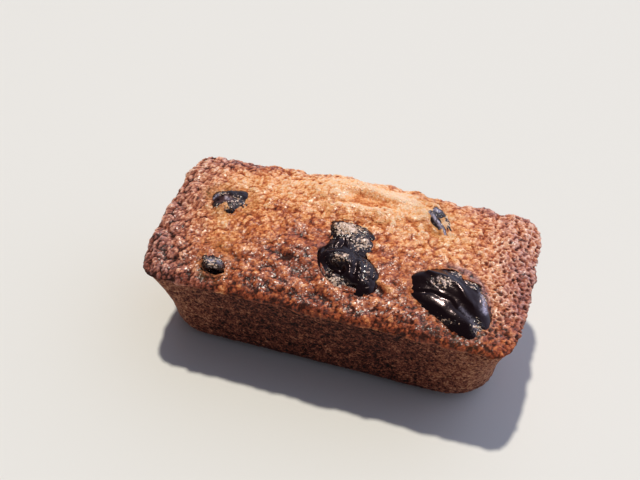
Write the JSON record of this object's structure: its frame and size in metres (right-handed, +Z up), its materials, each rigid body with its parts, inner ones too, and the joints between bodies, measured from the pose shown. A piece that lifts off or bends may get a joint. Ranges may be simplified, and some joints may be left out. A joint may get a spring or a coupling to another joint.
{
  "type": "financier cake",
  "caption": "Small tapered almond loaf cake with a golden, domed and cracked top, a dark crusty rim and dark baked fruit sunk into the crumb; it stands on its flat base.",
  "frame": {"origin": "under the middle of the cake, on the plane of its flat base", "axes": "+X along the cake to its right end, +Y to its back, +Z up"},
  "size_m": [0.0862, 0.0411, 0.0313],
  "materials": {
    "crumb": "baked almond crumb, satin and buttery on top",
    "fruit": "glossy wrinkled fruit skin"
  },
  "bodies": {
    "root": {"cake_body": "crumb", "fruit_front_right": "fruit", "fruit_centre": "fruit", "fruit_back_left": "fruit", "fruit_front_left": "fruit", "fruit_back_right": "fruit"}
  },
  "joints": []
}
